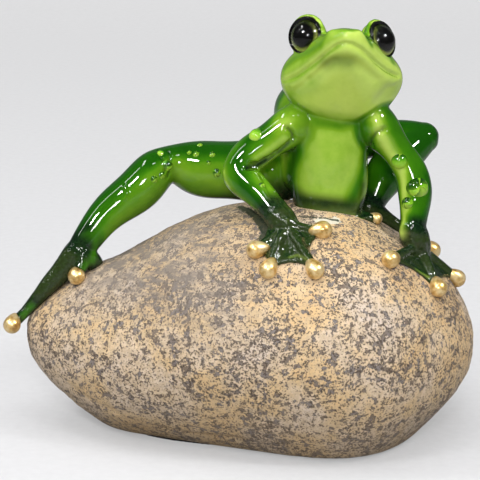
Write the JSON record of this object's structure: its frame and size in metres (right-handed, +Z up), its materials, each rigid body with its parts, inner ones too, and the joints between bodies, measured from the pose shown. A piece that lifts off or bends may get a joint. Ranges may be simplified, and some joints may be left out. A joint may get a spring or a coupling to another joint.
{
  "type": "frog figurine on a pebble",
  "caption": "Green lacquered frog figurine with gilt toe pads and glass eyes, sitting upright with one leg stretched out, on a speckled stone pebble with a flat felted foot.",
  "frame": {"origin": "on the table under the pebble, near its middle: the felt's underside is at z = 0", "axes": "+Z up; +Y to the back, away from the frog's face; +X to the frog's left, along the pebble"},
  "size_m": [0.1518, 0.0919, 0.1347],
  "materials": {
    "pebble": "matt, tan with dark speckles",
    "bung": "matt",
    "felt": "matt felt",
    "lacquer": "gloss, light in front and dark at the sides",
    "dark_lacquer": "gloss",
    "gilt": "gold paint",
    "eye_cup": "gloss",
    "iris": "satin, black with a thin olive ring",
    "eye_glass": "polished",
    "dew": "clear gloss resin",
    "pin": "drawn"
  },
  "bodies": {
    "root": {"stone_shell": "pebble", "stone_bung": "bung", "base_felt": "felt", "trunk": "lacquer", "head": "lacquer", "right_arm": "lacquer", "left_arm": "lacquer", "right_leg": "lacquer", "left_leg": "lacquer", "right_hand": "dark_lacquer", "left_hand": "dark_lacquer", "right_foot": "dark_lacquer", "left_foot": "dark_lacquer", "right_hand_pads": "gilt", "left_hand_pads": "gilt", "right_foot_pads": "gilt", "left_foot_pads": "gilt", "right_eye_cup": "eye_cup", "left_eye_cup": "eye_cup", "right_eye_iris": "iris", "left_eye_iris": "iris", "right_eye_glass": "eye_glass", "left_eye_glass": "eye_glass", "right_arm_drops": "dew", "left_arm_drops": "dew", "right_leg_drops": "dew", "neck_pin": "pin", "shoulder_pins": "pin", "hip_pins": "pin", "seat_pins": "pin"}
  },
  "joints": []
}
